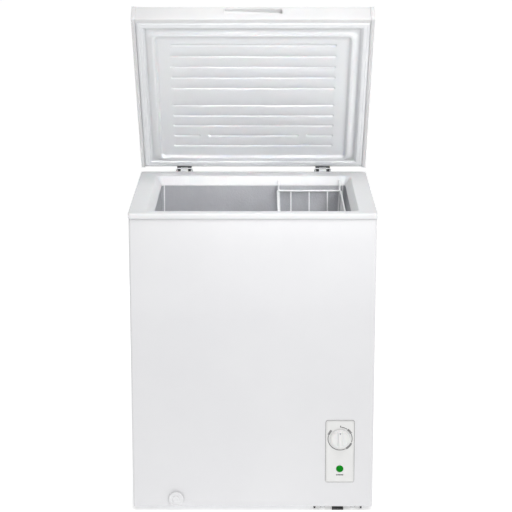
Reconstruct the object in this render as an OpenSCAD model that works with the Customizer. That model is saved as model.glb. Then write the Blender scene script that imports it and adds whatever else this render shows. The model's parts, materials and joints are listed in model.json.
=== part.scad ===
// Chest freezer: an insulated cabinet, a counterbalanced lid, a hanging wire basket, a front control
// panel, a front drain and a compressor compartment at the lower right.
// X runs across the front, Y from front to back, Z up. The origin is on the floor, under the middle
// of the whole outline with the lid standing open, so the cabinet's own middle is at y = cab_mid.

/* [Cabinet] */
// Width of the top rim, the widest part of the cabinet
rim_w = 632; // [600:1:700]
// Depth of the top rim from front to back
rim_d = 550; // [530:1:580]
// Height of the top rim above the floor
rim_top = 800; // [770:1:850]
// Height of the cabinet's underside above the floor
base_z = 12; // [10:1:20]
// How far the rim stands proud of the steel wrap on each side
rim_proud = 2; // [1:0.5:3]
// Height of the rim's outer band
rim_band = 14; // [10:1:20]
// Thickness of the rim moulding
rim_t = 2.5; // [2:0.5:4]
// Thickness of the outer steel sheets
sheet_t = 0.8; // [0.5:0.1:1.5]
// Radius of the wrap's front vertical corners
corner_r = 6; // [3:1:10]
// Y position of the cabinet's middle in the part's frame
cab_mid = -22; // [-30:1:-15]

/* [Tank] */
// Width of the inner tank
tank_w = 512; // [480:2:520]
// Distance from the rim's front edge to the tank's front wall
wall_front = 44; // [40:1:56]
// Distance from the rim's rear edge to the tank's rear wall
wall_rear = 78; // [70:1:90]
// Height of the tank's floor above the floor of the room
tank_floor = 73; // [68:1:90]
// Width of the rim's sloping throat
throat_w = 14; // [10:1:20]
// Drop of the rim's sloping throat
throat_h = 22; // [16:1:28]
// Radius of the throat's corners
throat_r = 18; // [8:1:30]
// X position of the step over the compressor compartment
step_x = 42; // [30:1:60]
// Height of the step's top above the floor
step_z = 292; // [285:1:320]
// Thickness of the tank's aluminium sheet
tank_t = 0.8; // [0.5:0.1:1.5]

/* [Lid] */
// Lid opening angle at rest, from closed
lid_open = 54; // [0:1:80]
// Lid thickness over the trims
lid_h = 50; // [46:1:65]
// Lid length from its rear edge to the front of its front trim
lid_l = 562; // [560:1:570]
// Gap between the rim and the lid's trims when closed
lid_gap = 5; // [4:1:8]
// Width of the lid's side trims
side_trim = 11; // [8:1:14]
// Depth of the lid's front trim
front_trim = 22; // [20:1:26]
// Width of the handle pocket in the front trim
pocket_w = 150; // [120:1:180]
// Height of the handle pocket
pocket_h = 18; // [10:1:20]
// Width of the door seal
seal_w = 15; // [12:1:18]
// Width of the raised bead on the lid's inner panel
bead_w = 20; // [14:1:24]
// Height of the raised bead
bead_h = 8.5; // [4:0.5:8.5]

/* [Hinges] */
// Distance of each hinge from the cabinet's middle plane
hinge_x = 195; // [150:1:230]
// How far the hinge axis is behind the rim's rear edge
hinge_back = 10; // [9:1:12]
// How far the hinge axis is below the top of the rim
hinge_drop = 1; // [0:1:3]
// Hinge pin diameter
pin_d = 6; // [5:0.5:7]
// Radial running clearance round the pin
pin_gap = 0.05; // [0.02:0.01:0.1]

/* [Basket] */
// Basket width
basket_w = 175; // [140:1:190]
// Basket height
basket_h = 180; // [140:1:220]
// Frame wire diameter
frame_wire = 5; // [4:0.5:6]
// Mesh wire diameter
mesh_wire = 3.5; // [2.5:0.5:4]

/* [Controls] */
// X position of the control panel's middle
panel_x = 227; // [200:1:240]
// Control panel width
panel_w = 74; // [64:1:80]
// Control panel height
panel_h = 170; // [155:1:175]
// Height of the control panel's middle above the floor
panel_z = 165; // [160:1:170]
// Knob diameter
knob_d = 51; // [40:1:56]
// Height of the knob's middle above the floor
knob_z = 201; // [195:1:205]
// Height of the indicator lamp above the floor
lamp_z = 118; // [110:1:125]
// Diameter of the indicator lens
lamp_d = 19; // [12:1:22]

/* [Drain] */
// X position of the drain
drain_x = -201; // [-230:1:-150]
// Height of the drain spout above the floor
drain_z = 34; // [33:1:36]
// Diameter of the drain dial
dial_d = 39; // [34:1:42]

/* [Hidden] */

$fn = 48;
eps = 0.01;

// cabinet box
cab_w = rim_w - 2 * rim_proud;
cab_d = rim_d - 2 * rim_proud;
rim_front = cab_mid - rim_d / 2;
rim_rear = cab_mid + rim_d / 2;
cab_front = cab_mid - cab_d / 2;
cab_rear = cab_mid + cab_d / 2;
in_x = cab_w / 2 - sheet_t;
in_front = cab_front + sheet_t;
in_rear = cab_rear - 2 * sheet_t;
flange = 14;
flat_z = rim_top - rim_t;

// tank
tank_x = tank_w / 2;
tank_front = rim_front + wall_front;
tank_rear = rim_rear - wall_rear;
tank_top = rim_top - throat_h;

// compressor compartment
room_x = 100;
room_top = 232;
tray_t = 1.5;
inlet_x = room_x - 40;
inlet_z = 60;
comp = [205, 110];
comp_r = 62;
comp_h = 145;
grommet_h = 15;
mount_dx = 66;
mount_dy = 46;
rail_x = 223;
rail_half = 64;
bolt_dx = 40;
rail_z = base_z - 3;
foot_r = 15;
rail_foot_y = rim_front + 28;
foot_x = 262;
foot_front_y = rim_front + 55;
foot_rear_y = rim_rear - 45;

// tubes in the foam
tube_d = 8;
tube_room = 9;
evap_z = [for (i = [0 : 5]) 335 + 72 * i];
cond_z = [for (i = [0 : 5]) 290 + 84 * i];

// lid, as it lies closed
lid_x = rim_w / 2 - side_trim;
lid_z = rim_top + lid_gap;
lid_top = lid_z + lid_h;
lid_rear = rim_rear + 3;
lid_front = lid_rear - lid_l;
trim_rear = lid_front + front_trim;
seal_top = lid_z + 5;
seal_z = rim_top + 0.3;
seal_in = 13;
liner_t = 2;
bead_x = 280;
bead_front = lid_rear - 515;
bead_rear = lid_rear - 30;
bead_r = 26;
groove_w = 7;
groove_deep = 1.4;
groove_x = 216;
groove_pitch = 39.2;
groove_first = [88.5, 310.5];
groove_y = [for (i = [0 : 4], first = groove_first) lid_rear - first - groove_pitch * i];
split_y = lid_rear - groove_first[0] - groove_pitch;
groove_split = [121, 150];
pocket_z = lid_z + 0.62 * lid_h;
pocket_deep = 12;
cup_t = 1.5;

// hinge axis
axis_y = rim_rear + hinge_back;
axis_z = rim_top - hinge_drop;
pin_hole = pin_d + 2 * pin_gap;
barrel_r = 6.5;
barrel_half = 10;
ear_x = 19;
ear_t = 3;
bracket_t = 2.5;
bracket_half = 26;
leaf_half = 20.5;

// basket
basket_r = 242;
basket_l = basket_r - basket_w;
basket_top = rim_top - 37;
basket_f = tank_front + 13;
basket_b = tank_rear - 13;
taper = 10;
hook_y = 15;
hook_z = 26;

// controls and drain
bezel_t = 5;
bezel_front = cab_front - 2;
knob_t = 14;
plug_y = tank_front + 32;
guide_r = 12;
guide_bore = 10;
guide_end = 15;
riser_r = 11;
spout_r = 9.7;
spout_l = 60;

// ---------- shared shapes ----------

function arc(x, y, r, from) = [for (a = [0 : 15 : 90]) [x + r * cos(from + a), y + r * sin(from + a)]];

// outline of a rectangle from (x0, y0) to (x1, y1) with round corners
function rounded(x0, y0, x1, y1, r) = concat(arc(x1 - r, y1 - r, r, 0), arc(x0 + r, y1 - r, r, 90),
    arc(x0 + r, y0 + r, r, 180), arc(x1 - r, y0 + r, r, 270));

module box(lo, hi) translate(lo) cube(hi - lo);

// a profile in Y and Z, drawn out along X
module along_x(x0, x1) translate([x0, 0, 0]) rotate([90, 0, 90]) linear_extrude(x1 - x0) children();

// a profile in X and Z, drawn out along Y
module along_y(y0, y1) translate([0, y1, 0]) rotate([90, 0, 0]) linear_extrude(y1 - y0) children();

// a rod along X or Y, centred on a point of its start
module rod_x(at, r, h) translate(at) rotate([0, 90, 0]) cylinder(r = r, h = h);
module rod_y(at, r, h) translate(at) rotate([-90, 0, 0]) cylinder(r = r, h = h);

// an eight-sided wire between two points, run on a little so that corners join
module bar(p, q, d) {
    v = q - p;
    span = norm(v);
    translate(p) rotate([0, acos(v.z / span), atan2(v.y, v.x)])
        translate([0, 0, -0.35 * d]) cylinder(h = span + 0.7 * d, d = d, $fn = 8);
}

module wire(points, d) for (i = [1 : len(points) - 1]) bar(points[i - 1], points[i], d);

// the square channel that a tube lies in
module channel(points, s) for (i = [1 : len(points) - 1]) {
    p = points[i - 1];
    q = points[i];
    box([for (k = [0 : 2]) min(p[k], q[k]) - s / 2], [for (k = [0 : 2]) max(p[k], q[k]) + s / 2]);
}

// a helical spring of round wire about an axis along X
module coil_spring(at, r, wire_d, turns, pitch) {
    sides = 8;
    steps = 14;
    n = round(turns * steps);
    ring = [for (i = [0 : n], s = [0 : sides - 1])
        let (a = 360 * i / steps, b = 360 * s / sides, rr = r + wire_d / 2 * cos(b))
        [pitch * i / steps + wire_d / 2 * sin(b), rr * cos(a), rr * sin(a)]];
    walls = [for (i = [0 : n - 1], s = [0 : sides - 1])
        let (t = (s + 1) % sides)
        [i * sides + s, i * sides + t, (i + 1) * sides + t, (i + 1) * sides + s]];
    first = [for (s = [0 : sides - 1]) sides - 1 - s];
    last = [for (s = [0 : sides - 1]) n * sides + s];
    translate(at) polyhedron(points = ring, faces = concat([first], walls, [last]));
}

// everything on the lid is drawn closed, then swung up about the hinge axis
module swing() translate([0, axis_y, axis_z]) rotate([-lid_open, 0, 0])
    translate([0, -axis_y, -axis_z]) children();

module screw(at, dir) translate(at) rotate(dir) {
    cylinder(r = 4, h = 2, $fn = 24);
    translate([0, 0, -9]) cylinder(r = 1.9, h = 9 + eps, $fn = 24);
}

// the tank's space, let out by g on every wall
module tank_space(g) along_y(tank_front - g, tank_rear + g)
    polygon([[-tank_x - g, tank_top + eps], [-tank_x - g, tank_floor - g], [step_x + g, tank_floor - g],
        [step_x + g, step_z - g], [tank_x + g, step_z - g], [tank_x + g, tank_top + eps]]);

// the sloping throat between the rim's flat top and the tank, let out by g
module throat_space(g) hull() {
    w = throat_w * (throat_h + 1) / throat_h + g;
    translate([0, 0, rim_top + 1]) linear_extrude(1)
        polygon(rounded(-tank_x - w, tank_front - w, tank_x + w, tank_rear + w, throat_r));
    translate([0, 0, tank_top]) linear_extrude(eps) polygon(rounded(-tank_x - g, tank_front - g,
        tank_x + g, tank_rear + g, throat_r / 3));
}

// ---------- cabinet ----------

// the plan of the wrap, which has round front corners
module wrap_plan() polygon(concat([[-cab_w / 2, cab_rear]],
    arc(corner_r - cab_w / 2, cab_front + corner_r, corner_r, 180),
    arc(cab_w / 2 - corner_r, cab_front + corner_r, corner_r, 270), [[cab_w / 2, cab_rear]]));

// the plan of the space inside it
module inside_plan() polygon(concat([[-in_x, in_rear]],
    arc(corner_r - cab_w / 2, cab_front + corner_r, corner_r - sheet_t, 180),
    arc(cab_w / 2 - corner_r, cab_front + corner_r, corner_r - sheet_t, 270), [[in_x, in_rear]]));

module inside_wrap() intersection() {
    children();
    linear_extrude(rim_top) inside_plan();
}

module cabinet_wrap() color("white") difference() {
    translate([0, 0, base_z]) linear_extrude(flat_z - base_z) difference() {
        wrap_plan();
        inside_plan();
        translate([-in_x, in_rear - 1]) square([2 * in_x, 1 + sheet_t]);
        translate([flange - cab_w / 2, cab_rear - 5]) square([cab_w - 2 * flange, 10]);
    }
    box([panel_x - panel_w / 2 + 6, cab_front - 1, panel_z - panel_h / 2 + 8],
        [panel_x + panel_w / 2 - 6, cab_front + 3, panel_z + panel_h / 2 - 23]);
    rod_y([drain_x, cab_front - 1, drain_z], guide_r + 0.1, 4);
}

module back_panel() color("lightgray") {
    y = in_rear;
    difference() {
        box([-in_x, y, base_z + sheet_t], [in_x, y + sheet_t, flat_z]);
        box([room_x + 20, y - 1, base_z + 18], [in_x - 30, y + 2, room_top - 26]);
        rod_y([inlet_x, y - 1, inlet_z], 9, 3);
    }
    for (x = [-240 : 96 : 240]) box([x - 5, y + sheet_t, 300], [x + 5, y + sheet_t + 2, 680]);
}

module base_plate() color("silver") inside_wrap()
    box([-in_x, in_front, base_z], [room_x, in_rear, base_z + sheet_t]);

module compartment_shell() color("gainsboro") inside_wrap() along_y(in_front, in_rear)
    polygon([[room_x, base_z + sheet_t], [room_x + 1, base_z + sheet_t], [room_x + 1, room_top - 1],
        [in_x, room_top - 1], [in_x, room_top], [room_x, room_top]]);

module compressor_tray() color("dimgray") difference() {
    inside_wrap() box([room_x + 1.5, in_front + 1, base_z], [in_x - 0.5, in_rear - 1, base_z + tray_t]);
    for (x = [-30 : 15 : 30]) box([comp.x + x - 3, cab_mid - 110, base_z - 1],
        [comp.x + x + 3, cab_mid - 40, base_z + 4]);
    for (i = [-1, 1]) translate([rail_x + i * bolt_dx, rim_front + 18, base_z - 1])
        cylinder(r = 3.1, h = 4);
}

module front_rail() color("black") {
    difference() {
        box([rail_x - rail_half, rim_front + 9, rail_z], [rail_x + rail_half, rim_front + 46, base_z]);
        translate([rail_x, rail_foot_y, rail_z - 1]) cylinder(r = foot_r + 0.5, h = 6);
        for (i = [-1, 1]) translate([rail_x + i * bolt_dx, rim_front + 18, rail_z - 1])
            cylinder(r = 3.1, h = 6);
    }
    for (i = [-1, 1]) along_y(rim_front + 9, rim_front + 40) polygon([[rail_x + i * rail_half, rail_z],
        [rail_x + i * (rail_half - 9), rail_z], [rail_x + i * (rail_half - 3), rail_z - 5],
        [rail_x + i * rail_half, rail_z - 5]]);
}

module rail_bolts() color("silver") for (i = [-1, 1])
    translate([rail_x + i * bolt_dx, rim_front + 18, 0]) {
        translate([0, 0, rail_z - 4]) cylinder(r = 7, h = 4);
        translate([0, 0, rail_z - eps]) cylinder(r = 3, h = base_z + tray_t + 4 - rail_z);
        translate([0, 0, base_z + tray_t]) cylinder(r = 5.8, h = 5, $fn = 6);
    }

module foot(x, y) color("black") translate([x, y, 0]) rotate_extrude()
    polygon([[0, 0], [foot_r - 1.5, 0], [foot_r, 1.5], [foot_r - 1, base_z], [0, base_z]]);

module foot_front_left() foot(-foot_x, foot_front_y);
module foot_front_right() foot(rail_x, rail_foot_y);
module foot_rear_left() foot(-foot_x, foot_rear_y);
module foot_rear_right() foot(foot_x, foot_rear_y);

// one turn round the tank, left open by a gap at the rear left corner
function loop_points(x, y0, y1, z, gap, i) = i % 2 == 0
    ? [[-x, y1 - gap, z], [-x, y0, z], [x, y0, z], [x, y1, z], [gap - x, y1, z]]
    : [[gap - x, y1, z], [x, y1, z], [x, y0, z], [-x, y0, z], [-x, y1 - gap, z]];
evap_x = tank_x + tank_t + tube_room / 2;
evap_path = [for (i = [0 : len(evap_z) - 1]) each loop_points(evap_x, tank_front - tank_t - tube_room / 2,
    tank_rear + tank_t + tube_room / 2, evap_z[i], 16, i)];
cond_x = in_x - tube_room / 2 - 3;
cond_front = in_front + tube_room / 2 + 3;
cond_path = [for (i = [0 : len(cond_z) - 1]) let (s = i % 2 == 0 ? -1 : 1) each
    [[s * cond_x, in_rear - 30, cond_z[i]], [s * cond_x, cond_front, cond_z[i]],
    [-s * cond_x, cond_front, cond_z[i]], [-s * cond_x, in_rear - 30, cond_z[i]]]];

// the foam, in thirteen blocks that are parted by fine joints at the faces of the tank
module cabinet_foam() color("lemonchiffon") difference() {
    inside_wrap() along_y(in_front, in_rear) polygon([[-in_x, base_z + sheet_t], [room_x, base_z + sheet_t],
        [room_x, room_top], [in_x, room_top], [in_x, flat_z], [-in_x, flat_z]]);
    tank_space(tank_t);
    throat_space(rim_t);
    translate([0, 0, tank_top - 8]) linear_extrude(9) square_ring(tank_x + rim_t, tank_front - rim_t,
        tank_rear + rim_t);
    channel(evap_path, tube_room);
    channel(cond_path, tube_room);
    rod_y([drain_x, in_front - 1, drain_z], guide_r, plug_y - in_front + guide_end + 1);
    translate([drain_x, plug_y, drain_z]) cylinder(r = riser_r, h = tank_floor - drain_z);
    rod_y([inlet_x, in_rear - 9, inlet_z], 9, 12);
    for (z = [tank_floor - tank_t, room_top, step_z - tank_t]) foam_joint([-in_x, in_front, z],
        [in_x, in_rear, z]);
    for (y = [tank_front - tank_t, tank_rear + tank_t]) foam_joint([-in_x, y, tank_floor - tank_t],
        [in_x, y, rim_top]);
}

module foam_joint(lo, hi) box([for (v = lo) v - 0.1], [for (v = hi) v + 0.1]);

module square_ring(x, y0, y1) translate([-x, y0]) square([2 * x, y1 - y0]);

module inner_liner() color("silver") difference() {
    tank_space(tank_t);
    tank_space(0);
    translate([-tank_x - 5, tank_front - 5, tank_top - eps / 2]) cube([tank_w + 10, 500, 5]);
    translate([drain_x, plug_y, tank_floor - 5]) cylinder(r = 9, h = 10);
}

// strips that cover the tank's upright corner seams
module corner_strips() color("white") for (sx = [-1, 1], y = [tank_front, tank_rear - 1])
    box([sx > 0 ? tank_x - 10 : 7 - tank_x, y, sx > 0 ? step_z : tank_floor],
        [sx > 0 ? tank_x - 7 : 10 - tank_x, y + 1, tank_top - 1]);

module rim_frame() color("white") difference() {
    union() {
        translate([0, 0, rim_top - rim_band]) linear_extrude(rim_band)
            polygon(rounded(-rim_w / 2, rim_front, rim_w / 2, rim_rear, corner_r));
        translate([0, 0, tank_top - 8]) linear_extrude(throat_h + 8) polygon(rounded(-tank_x - throat_w,
            tank_front - throat_w, tank_x + throat_w, tank_rear + throat_w, throat_r));
    }
    throat_space(0);
    difference() {
        translate([0, 0, tank_top - 10]) linear_extrude(flat_z - tank_top + 10) wrap_plan();
        throat_space(rim_t);
        translate([0, 0, tank_top - 8]) linear_extrude(8.5) square_ring(tank_x + rim_t,
            tank_front - rim_t, tank_rear + rim_t);
    }
    translate([0, 0, tank_top - 11]) linear_extrude(11 + eps) square_ring(tank_x + tank_t,
        tank_front - tank_t, tank_rear + tank_t);
}

// ---------- refrigeration ----------

module evaporator_coil() color("silver") wire(evap_path, tube_d);

module condenser_coil() color("peru") wire(cond_path, tube_d);

module compressor() color([0.12, 0.12, 0.13]) {
    z0 = base_z + tray_t + grommet_h;
    translate([comp.x, comp.y, z0]) rotate_extrude() union() {
        translate([0, 30]) square([comp_r, comp_h - 60]);
        intersection() {
            translate([0, 30]) circle(r = comp_r);
            translate([0, 0]) square([comp_r, 60]);
        }
        intersection() {
            translate([0, comp_h - 30]) circle(r = comp_r);
            translate([0, comp_h - 60]) square([comp_r, 60]);
        }
        translate([0, comp_h / 2 - 3]) square([comp_r + 4, 6]);
    }
    difference() {
        box([comp.x - mount_dx - 12, comp.y - mount_dy - 10, z0 - 3], [comp.x + mount_dx + 12,
            comp.y + mount_dy + 10, z0 + eps]);
        for (i = [-1, 1], j = [-1, 1]) translate([comp.x + i * mount_dx, comp.y + j * mount_dy, z0 - 4])
            cylinder(r = 5, h = 6);
    }
}

module compressor_grommets() color("black") for (i = [-1, 1], j = [-1, 1])
    translate([comp.x + i * mount_dx, comp.y + j * mount_dy, base_z + tray_t]) {
        cylinder(r = 10, h = grommet_h - 3);
        cylinder(r = 4.7, h = grommet_h + 4);
    }

module relay_box() color([0.2, 0.2, 0.22])
    box([comp.x - 24, comp.y - comp_r - 35, 60], [comp.x + 24, comp.y - comp_r - 5, 130]);

module filter_drier() color("peru") translate([comp.x + 60, comp.y - 190, 60]) {
    cylinder(r = 9.5, h = 90);
    translate([0, 0, -14]) cylinder(r = 3, h = 14 + eps);
    translate([0, 0, 90 - eps]) cylinder(r = 3, h = 14);
}

module suction_pipe() color("peru") wire([[comp.x - comp_r - 3, comp.y, 90], [comp.x - 84, comp.y, 90],
    [comp.x - 84, comp.y, 200], [comp.x - 84, in_rear - 30, 200]], 7);

module discharge_pipe() color("peru") wire([[comp.x + comp_r + 3, comp.y, 90], [comp.x + 84, comp.y, 90],
    [comp.x + 84, comp.y, 205], [comp.x + 84, comp.y - 190, 205], [comp.x + 60, comp.y - 190, 205],
    [comp.x + 60, comp.y - 190, 166.5]], 6);

grille = [[room_x + 6, base_z + 4], [in_x - 16, room_top - 8]];
module rear_grille() color("lightgray") difference() {
    box([grille[0].x, in_rear + sheet_t, grille[0].y], [grille[1].x, in_rear + sheet_t + 2, grille[1].y]);
    for (col = [0 : 2], row = [0 : 10])
        box([grille[0].x + 16 + 56 * col, in_rear, grille[0].y + 24 + 14 * row],
            [grille[0].x + 62 + 56 * col, in_rear + 5, grille[0].y + 30 + 14 * row]);
    for (p = grille_screw_at) rod_y([p.x, in_rear, p.y], 2.2, 5);
}
grille_screw_at = [for (x = [grille[0].x + 7, grille[1].x - 7],
    z = [grille[0].y + 8, grille[1].y - 8]) [x, z]];

module grille_screws() color("silver") for (p = grille_screw_at)
    screw([p.x, in_rear + sheet_t + 2, p.y], [-90, 0, 0]);

module power_inlet() color("black") difference() {
    union() {
        rod_y([inlet_x, in_rear + sheet_t, inlet_z], 13, 4);
        rod_y([inlet_x, in_rear - 8, inlet_z], 8.8, 10);
        rod_y([inlet_x, in_rear + sheet_t, inlet_z], 8, 16);
    }
    rod_y([inlet_x, in_rear + 4, inlet_z], 4, 20);
}

// ---------- controls ----------

module control_bezel() color("whitesmoke") difference() {
    union() {
        along_y(bezel_front, cab_front) polygon(rounded(panel_x - panel_w / 2, panel_z - panel_h / 2,
            panel_x + panel_w / 2, panel_z + panel_h / 2, 6));
        box([panel_x - panel_w / 2 + 7, cab_front - eps, panel_z - panel_h / 2 + 9],
            [panel_x + panel_w / 2 - 7, cab_front + bezel_t, panel_z + panel_h / 2 - 24]);
    }
    rod_y([panel_x, bezel_front - 1, knob_z], 7, 12);
    rod_y([panel_x, bezel_front - 1, lamp_z], lamp_d / 2 + 0.2, 12);
}

module thermostat() color("gainsboro") difference() {
    box([panel_x - 20, cab_front + bezel_t, knob_z - 18], [panel_x + 20, cab_front + bezel_t + 34,
        knob_z + 18]);
    rod_y([panel_x, cab_front + bezel_t - 1, knob_z], 3.05, 13);
}

module thermostat_shaft() color("silver") rod_y([panel_x, bezel_front - 8, knob_z], 3,
    cab_front + bezel_t + 10 - bezel_front + 8);

module control_knob() color("white") difference() {
    union() {
        rod_y([panel_x, bezel_front - 6, knob_z], knob_d / 2, 5.5);
        rod_y([panel_x, bezel_front - 9, knob_z], knob_d / 2 - 3, 4);
        box([panel_x - 5, bezel_front - knob_t, knob_z - knob_d / 2 + 4], [panel_x + 5, bezel_front - 8,
            knob_z + knob_d / 2 - 4]);
    }
    rod_y([panel_x, bezel_front - 8, knob_z], 3, 9);
}

module lamp_holder() color("darkslategray") rod_y([panel_x, cab_front + bezel_t, lamp_z], 11, 18);

module indicator_lens() color("green") {
    rod_y([panel_x, bezel_front - 1, lamp_z], lamp_d / 2, cab_front + bezel_t - bezel_front + 1);
}

// ---------- drain ----------

module drain_guide() color("whitesmoke") difference() {
    union() {
        rod_y([drain_x, cab_front, drain_z], guide_r, plug_y - cab_front + guide_end);
        translate([drain_x, plug_y, drain_z]) cylinder(r = riser_r, h = tank_floor - tank_t - drain_z);
    }
    rod_y([drain_x, cab_front - 1, drain_z], guide_bore, plug_y - cab_front + guide_end - 2);
    translate([drain_x, plug_y, drain_z]) cylinder(r = 9, h = 60);
}

module drain_spout() color("white") difference() {
    rod_y([drain_x, cab_front - 6, drain_z], spout_r, spout_l);
    rod_y([drain_x, cab_front - 7, drain_z], 6.5, spout_l + 5);
}

module drain_dial() color("white") difference() {
    union() {
        rod_y([drain_x, cab_front - 7.5, drain_z], dial_d / 2, 7);
        rod_y([drain_x, cab_front - 9, drain_z], 8, 2);
    }
    rod_y([drain_x, cab_front - 6.3, drain_z], spout_r + 0.08, 9);
    box([drain_x - 5.5, cab_front - 10, drain_z - 1.2], [drain_x + 5.5, cab_front - 8, drain_z + 1.2]);
}

module drain_plug() color("white") translate([drain_x, plug_y, 0]) {
    translate([0, 0, tank_floor]) cylinder(r = 15, h = 3);
    translate([0, 0, tank_floor + 3 - eps]) cylinder(r = 5, h = 7);
    translate([0, 0, tank_floor - 14]) cylinder(r = 8.7, h = 14 + eps);
}

// ---------- hinges ----------

module hinge_bracket(x) color("silver") translate([x, 0, 0]) difference() {
    union() {
        box([-bracket_half, in_rear + sheet_t, rim_top - 95], [bracket_half, in_rear + sheet_t + bracket_t,
            rim_top - rim_band - 2]);
        for (s = [-1, 1]) along_x(s > 0 ? ear_x : -ear_x - ear_t, s > 0 ? ear_x + ear_t : -ear_x) {
            polygon([[in_rear + sheet_t + 1, rim_top - 90], [axis_y - 3, rim_top - 88],
                [axis_y + 7, rim_top - 40], [axis_y + 7, axis_z], [axis_y - 7, axis_z],
                [axis_y - 7.5, rim_top - rim_band - 3], [in_rear + sheet_t + 1, rim_top - rim_band - 3]]);
            translate([axis_y, axis_z]) circle(r = 7);
        }
    }
    rod_x([-30, axis_y, axis_z], pin_hole / 2, 60);
    for (p = bracket_holes) rod_y([p.x, in_rear, p.y], 2.2, 9);
}
bracket_holes = [for (x = [-9, 9], z = [rim_top - 82, rim_top - 40]) [x, z]];

module bracket_screws() color("silver") for (s = [-1, 1], p = bracket_holes)
    screw([s * hinge_x + p.x, in_rear + sheet_t + bracket_t, p.y], [-90, 0, 0]);

module hinge_pin(x) color("silver") translate([x, axis_y, axis_z]) {
    rod_x([-ear_x - ear_t - 3, 0, 0], pin_d / 2, 2 * (ear_x + ear_t + 3));
    for (s = [-1, 1]) rod_x([s > 0 ? ear_x + ear_t + 0.2 : -ear_x - ear_t - 2.7, 0, 0], 4.5, 2.5);
}

module hinge_spring(x) color("dimgray") for (s = [-1, 1])
    translate([x + s * (barrel_half + ear_x) / 2, axis_y, axis_z])
        coil_spring([-3.2, 0, 0], 4.7, 1.6, 3.5, 1.85);

module hinge_leaf(x) color("gray") swing() translate([x, 0, 0]) difference() {
    union() {
        rod_x([-barrel_half, axis_y, axis_z], barrel_r, 2 * barrel_half);
        box([-barrel_half, axis_y - barrel_r, axis_z],
            [barrel_half, axis_y - barrel_r + 4, seal_top + 6]);
        box([-leaf_half, axis_y - barrel_r, axis_z + 7.5],
            [leaf_half, axis_y - barrel_r + 4, seal_top + 6]);
        box([-leaf_half, lid_rear, seal_top + 2], [leaf_half, lid_rear + 2, seal_top + 44]);
    }
    rod_x([-30, axis_y, axis_z], pin_hole / 2, 60);
    for (p = leaf_holes) rod_y([p.x, lid_rear - 1, p.y], 2.2, 9);
}
leaf_holes = [for (x = [-11, 11]) [x, seal_top + 34]];

module leaf_screws() color("silver") swing() for (s = [-1, 1], p = leaf_holes)
    screw([s * hinge_x + p.x, lid_rear + 2, p.y], [-90, 0, 0]);

module hinge_bracket_left() hinge_bracket(-hinge_x);
module hinge_bracket_right() hinge_bracket(hinge_x);
module hinge_pin_left() hinge_pin(-hinge_x);
module hinge_pin_right() hinge_pin(hinge_x);
module hinge_spring_left() hinge_spring(-hinge_x);
module hinge_spring_right() hinge_spring(hinge_x);
module hinge_leaf_left() hinge_leaf(-hinge_x);
module hinge_leaf_right() hinge_leaf(hinge_x);

// ---------- lid ----------

module lid_shell() color("white") swing() along_x(-lid_x, lid_x) polygon([[trim_rear, lid_top - sheet_t],
    [trim_rear, lid_top], [lid_rear, lid_top], [lid_rear, seal_top], [lid_rear - sheet_t, seal_top],
    [lid_rear - sheet_t, lid_top - sheet_t]]);

module lid_foam() color("lemonchiffon") swing()
    box([-lid_x, trim_rear, seal_top + liner_t], [lid_x, lid_rear - sheet_t, lid_top - sheet_t]);

module lid_liner() color("white") swing() difference() {
    union() {
        box([-lid_x, trim_rear, seal_top], [lid_x, lid_rear - sheet_t, seal_top + liner_t]);
        translate([0, 0, seal_top - bead_h]) linear_extrude(bead_h + eps) difference() {
            polygon(rounded(-bead_x, bead_front, bead_x, bead_rear, bead_r));
            polygon(rounded(bead_w - bead_x, bead_front + bead_w, bead_x - bead_w, bead_rear - bead_w,
                bead_r - 8));
        }
    }
    for (y = groove_y) if (y == split_y) {
        groove(-groove_split[0], groove_split[0], y);
        groove(-groove_x, -groove_split[1], y);
        groove(groove_split[1], groove_x, y);
    } else groove(-groove_x, groove_x, y);
}

module groove(x0, x1, y) box([x0, y - groove_w / 2, seal_top - 1],
    [x1, y + groove_w / 2, seal_top + groove_deep]);

module lid_gasket() color("whitesmoke") swing() translate([0, 0, seal_z]) linear_extrude(seal_top - seal_z)
    difference() {
        seal_outline(0);
        seal_outline(seal_w);
    }

module seal_outline(inset) translate([inset - lid_x + 4, lid_front + seal_in + inset])
    square([2 * (lid_x - 4 - inset), lid_l - 2 * seal_in - 2 * inset]);

module lid_front_trim() color("white") swing() difference() {
    along_x(-lid_x, lid_x) polygon([[lid_front, lid_z + 2], [lid_front + 2, lid_z], [lid_front + 11, lid_z],
        [lid_front + 11, seal_top], [trim_rear, seal_top], [trim_rear, lid_top], [lid_front + 4, lid_top],
        [lid_front, lid_top - 4]]);
    box([-pocket_w / 2 - cup_t, lid_front - 1, pocket_z - pocket_h / 2 - cup_t], [pocket_w / 2 + cup_t,
        lid_front + pocket_deep + cup_t, pocket_z + pocket_h / 2 + cup_t]);
}

module lid_handle_cup() color("whitesmoke") swing() difference() {
    box([-pocket_w / 2 - cup_t, lid_front, pocket_z - pocket_h / 2 - cup_t], [pocket_w / 2 + cup_t,
        lid_front + pocket_deep + cup_t, pocket_z + pocket_h / 2 + cup_t]);
    box([-pocket_w / 2, lid_front - 1, pocket_z - pocket_h / 2], [pocket_w / 2, lid_front + pocket_deep,
        pocket_z + pocket_h / 2]);
}

module lid_side_trim(x0) color("white") swing() along_x(x0, x0 + side_trim)
    polygon(rounded(lid_front - 3, lid_z - 1, lid_rear + 3, lid_top + 1, 6));

module lid_side_trim_left() lid_side_trim(-rim_w / 2);
module lid_side_trim_right() lid_side_trim(lid_x);

// ---------- basket ----------

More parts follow.
